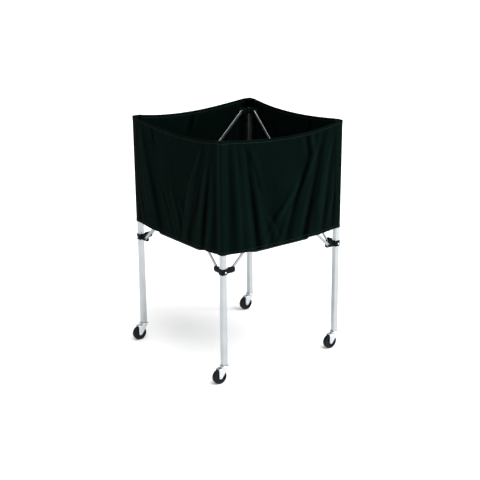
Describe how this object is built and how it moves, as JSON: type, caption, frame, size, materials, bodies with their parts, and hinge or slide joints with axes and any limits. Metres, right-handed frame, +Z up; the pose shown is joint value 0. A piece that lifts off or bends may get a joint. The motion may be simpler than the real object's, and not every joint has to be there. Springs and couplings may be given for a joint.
{
  "type": "ball cart",
  "caption": "Folding ball cart: a square fabric hopper hung between four tube legs with crossed folding bars, sliding corner brackets and swivel casters.",
  "frame": {"origin": "under the middle of the cart's bounding box, on the floor", "axes": "+X to the right along the front side, +Y from the front side to the rear side, +Z up the legs"},
  "size_m": [0.6558, 0.625, 0.979],
  "materials": {
    "leg_tube": "satin, clear anodised",
    "bar": "satin",
    "bracket": "fine moulded grain",
    "plated_steel": "bright zinc plating",
    "wheel": "satin black, lighter hub",
    "cloth": "woven polyester with hems"
  },
  "bodies": {
    "front_left_frame": {"front_left_leg": "leg_tube", "front_left_leg_plug": "bracket", "front_left_top_bracket": "bracket", "front_left_caster_head": "plated_steel", "front_left_bag_pocket": "cloth", "bag_floor": "cloth"},
    "front_right_frame": {"front_right_leg": "leg_tube", "front_right_leg_plug": "bracket", "front_right_top_bracket": "bracket", "front_right_caster_head": "plated_steel", "front_right_bag_pocket": "cloth", "bag_front_wall": "cloth", "bag_right_wall": "cloth"},
    "rear_left_frame": {"rear_left_leg": "leg_tube", "rear_left_leg_plug": "bracket", "rear_left_top_bracket": "bracket", "rear_left_caster_head": "plated_steel", "rear_left_bag_pocket": "cloth", "bag_left_wall": "cloth"},
    "rear_right_frame": {"rear_right_leg": "leg_tube", "rear_right_leg_plug": "bracket", "rear_right_top_bracket": "bracket", "rear_right_caster_head": "plated_steel", "rear_right_bag_pocket": "cloth", "bag_rear_wall": "cloth"},
    "front_outer_bar": {"front_outer_bar": "bar", "front_cross_rivet": "plated_steel"},
    "front_inner_bar": {"front_inner_bar": "bar"},
    "left_outer_bar": {"left_outer_bar": "bar", "left_cross_rivet": "plated_steel"},
    "left_inner_bar": {"left_inner_bar": "bar"},
    "rear_outer_bar": {"rear_outer_bar": "bar", "rear_cross_rivet": "plated_steel"},
    "rear_inner_bar": {"rear_inner_bar": "bar"},
    "right_outer_bar": {"right_outer_bar": "bar", "right_cross_rivet": "plated_steel"},
    "right_inner_bar": {"right_inner_bar": "bar"},
    "front_left_slider": {"front_left_slider": "bracket"},
    "front_left_lock_knob": {"front_left_lock_knob": "plated_steel"},
    "front_left_caster_yoke": {"front_left_caster_yoke": "plated_steel", "front_left_caster_axle": "plated_steel"},
    "front_left_caster_wheel": {"front_left_caster_wheel": "wheel"},
    "front_right_slider": {"front_right_slider": "bracket"},
    "front_right_lock_knob": {"front_right_lock_knob": "plated_steel"},
    "front_right_caster_yoke": {"front_right_caster_yoke": "plated_steel", "front_right_caster_axle": "plated_steel"},
    "front_right_caster_wheel": {"front_right_caster_wheel": "wheel"},
    "rear_left_slider": {"rear_left_slider": "bracket"},
    "rear_left_lock_knob": {"rear_left_lock_knob": "plated_steel"},
    "rear_left_caster_yoke": {"rear_left_caster_yoke": "plated_steel", "rear_left_caster_axle": "plated_steel"},
    "rear_left_caster_wheel": {"rear_left_caster_wheel": "wheel"},
    "rear_right_slider": {"rear_right_slider": "bracket"},
    "rear_right_lock_knob": {"rear_right_lock_knob": "plated_steel"},
    "rear_right_caster_yoke": {"rear_right_caster_yoke": "plated_steel", "rear_right_caster_axle": "plated_steel"},
    "rear_right_caster_wheel": {"rear_right_caster_wheel": "wheel"}
  },
  "joints": [
    {"name": "fold", "type": "hinge", "parent": "front_left_frame", "child": "front_outer_bar", "pos_m": [-0.22863, -0.2895, 0.928], "axis": [0, 1, 0], "range_deg": [0, 44], "deforming": ["bag_front_wall", "bag_left_wall", "bag_rear_wall", "bag_right_wall", "bag_floor"]},
    {"name": "front_bars_cross", "type": "hinge", "parent": "front_outer_bar", "child": "front_inner_bar", "pos_m": [0.01537, -0.2895, 0.6955], "axis": [0, 1, 0], "range_deg": [-88, 0]},
    {"name": "front_right_top_pivot", "type": "hinge", "parent": "front_inner_bar", "child": "front_right_frame", "pos_m": [0.25937, -0.2895, 0.928], "axis": [0, 1, 0], "range_deg": [0, 44]},
    {"name": "front_left_slider_pivot", "type": "hinge", "parent": "front_inner_bar", "child": "front_left_slider", "pos_m": [-0.22863, -0.2895, 0.463], "axis": [0, 1, 0], "range_deg": [0, 44]},
    {"name": "front_right_slider_pivot", "type": "hinge", "parent": "front_outer_bar", "child": "front_right_slider", "pos_m": [0.25937, -0.2895, 0.463], "axis": [0, 1, 0], "range_deg": [-44, 0]},
    {"name": "left_top_pivot", "type": "hinge", "parent": "front_left_frame", "child": "left_outer_bar", "pos_m": [-0.27463, -0.2435, 0.928], "axis": [-1, 0, 0], "range_deg": [0, 44]},
    {"name": "left_bars_cross", "type": "hinge", "parent": "left_outer_bar", "child": "left_inner_bar", "pos_m": [-0.27463, 0.0005, 0.6955], "axis": [-1, 0, 0], "range_deg": [-88, 0]},
    {"name": "rear_left_top_pivot", "type": "hinge", "parent": "left_inner_bar", "child": "rear_left_frame", "pos_m": [-0.27463, 0.2445, 0.928], "axis": [-1, 0, 0], "range_deg": [0, 44]},
    {"name": "rear_left_slider_pivot", "type": "hinge", "parent": "left_outer_bar", "child": "rear_left_slider", "pos_m": [-0.27463, 0.2445, 0.463], "axis": [-1, 0, 0], "range_deg": [-44, 0]},
    {"name": "rear_top_pivot", "type": "hinge", "parent": "rear_left_frame", "child": "rear_outer_bar", "pos_m": [-0.22863, 0.2905, 0.928], "axis": [0, 1, 0], "range_deg": [0, 44]},
    {"name": "rear_bars_cross", "type": "hinge", "parent": "rear_outer_bar", "child": "rear_inner_bar", "pos_m": [0.01537, 0.2905, 0.6955], "axis": [0, 1, 0], "range_deg": [-88, 0]},
    {"name": "rear_right_top_pivot", "type": "hinge", "parent": "rear_inner_bar", "child": "rear_right_frame", "pos_m": [0.25937, 0.2905, 0.928], "axis": [0, 1, 0], "range_deg": [0, 44]},
    {"name": "rear_right_slider_pivot", "type": "hinge", "parent": "rear_outer_bar", "child": "rear_right_slider", "pos_m": [0.25937, 0.2905, 0.463], "axis": [0, 1, 0], "range_deg": [-44, 0]},
    {"name": "right_top_pivot", "type": "hinge", "parent": "front_right_frame", "child": "right_outer_bar", "pos_m": [0.30537, -0.2435, 0.928], "axis": [-1, 0, 0], "range_deg": [0, 44]},
    {"name": "right_bars_cross", "type": "hinge", "parent": "right_outer_bar", "child": "right_inner_bar", "pos_m": [0.30537, 0.0005, 0.6955], "axis": [-1, 0, 0], "range_deg": [-88, 0]},
    {"name": "front_left_lock_pull", "type": "slide", "parent": "front_left_slider", "child": "front_left_lock_knob", "axis": [0, -1, 0], "range_m": [0, 0.004], "stiffness_N_per_m": 300, "springref_m": -0.01},
    {"name": "front_left_caster_swivel", "type": "hinge", "parent": "front_left_frame", "child": "front_left_caster_yoke", "pos_m": [-0.27463, -0.2895, 0.074], "axis": [0, 0, 1], "continuous": true},
    {"name": "front_left_wheel_spin", "type": "hinge", "parent": "front_left_caster_yoke", "child": "front_left_caster_wheel", "pos_m": [-0.2976, -0.2883, 0.03], "axis": [0.0523, 0.9986, 0], "continuous": true},
    {"name": "front_right_lock_pull", "type": "slide", "parent": "front_right_slider", "child": "front_right_lock_knob", "axis": [0, -1, 0], "range_m": [0, 0.004], "stiffness_N_per_m": 300, "springref_m": -0.01},
    {"name": "front_right_caster_swivel", "type": "hinge", "parent": "front_right_frame", "child": "front_right_caster_yoke", "pos_m": [0.30537, -0.2895, 0.074], "axis": [0, 0, 1], "continuous": true},
    {"name": "front_right_wheel_spin", "type": "hinge", "parent": "front_right_caster_yoke", "child": "front_right_caster_wheel", "pos_m": [0.2824, -0.2883, 0.03], "axis": [0.0523, 0.9986, 0], "continuous": true},
    {"name": "rear_left_lock_pull", "type": "slide", "parent": "rear_left_slider", "child": "rear_left_lock_knob", "axis": [-1, 0, 0], "range_m": [0, 0.004], "stiffness_N_per_m": 300, "springref_m": -0.01},
    {"name": "rear_left_caster_swivel", "type": "hinge", "parent": "rear_left_frame", "child": "rear_left_caster_yoke", "pos_m": [-0.27463, 0.2905, 0.074], "axis": [0, 0, 1], "continuous": true},
    {"name": "rear_left_wheel_spin", "type": "hinge", "parent": "rear_left_caster_yoke", "child": "rear_left_caster_wheel", "pos_m": [-0.2976, 0.2917, 0.03], "axis": [0.0523, 0.9986, 0], "continuous": true},
    {"name": "rear_right_lock_pull", "type": "slide", "parent": "rear_right_slider", "child": "rear_right_lock_knob", "axis": [1, 0, 0], "range_m": [0, 0.004], "stiffness_N_per_m": 300, "springref_m": -0.01},
    {"name": "rear_right_caster_swivel", "type": "hinge", "parent": "rear_right_frame", "child": "rear_right_caster_yoke", "pos_m": [0.30537, 0.2905, 0.074], "axis": [0, 0, 1], "continuous": true},
    {"name": "rear_right_wheel_spin", "type": "hinge", "parent": "rear_right_caster_yoke", "child": "rear_right_caster_wheel", "pos_m": [0.2824, 0.2917, 0.03], "axis": [0.0523, 0.9986, 0], "continuous": true}
  ],
  "couplings": [
    {"joint": "front_bars_cross", "follows": "fold", "ratio": -2},
    {"joint": "front_right_top_pivot", "follows": "fold", "ratio": 1},
    {"joint": "front_left_slider_pivot", "follows": "fold", "ratio": 1},
    {"joint": "front_right_slider_pivot", "follows": "fold", "ratio": -1},
    {"joint": "left_top_pivot", "follows": "fold", "ratio": 1},
    {"joint": "left_bars_cross", "follows": "fold", "ratio": -2},
    {"joint": "rear_left_top_pivot", "follows": "fold", "ratio": 1},
    {"joint": "rear_left_slider_pivot", "follows": "fold", "ratio": -1},
    {"joint": "rear_top_pivot", "follows": "fold", "ratio": 1},
    {"joint": "rear_bars_cross", "follows": "fold", "ratio": -2},
    {"joint": "rear_right_top_pivot", "follows": "fold", "ratio": 1},
    {"joint": "rear_right_slider_pivot", "follows": "fold", "ratio": -1},
    {"joint": "right_top_pivot", "follows": "fold", "ratio": 1},
    {"joint": "right_bars_cross", "follows": "fold", "ratio": -2}
  ]
}
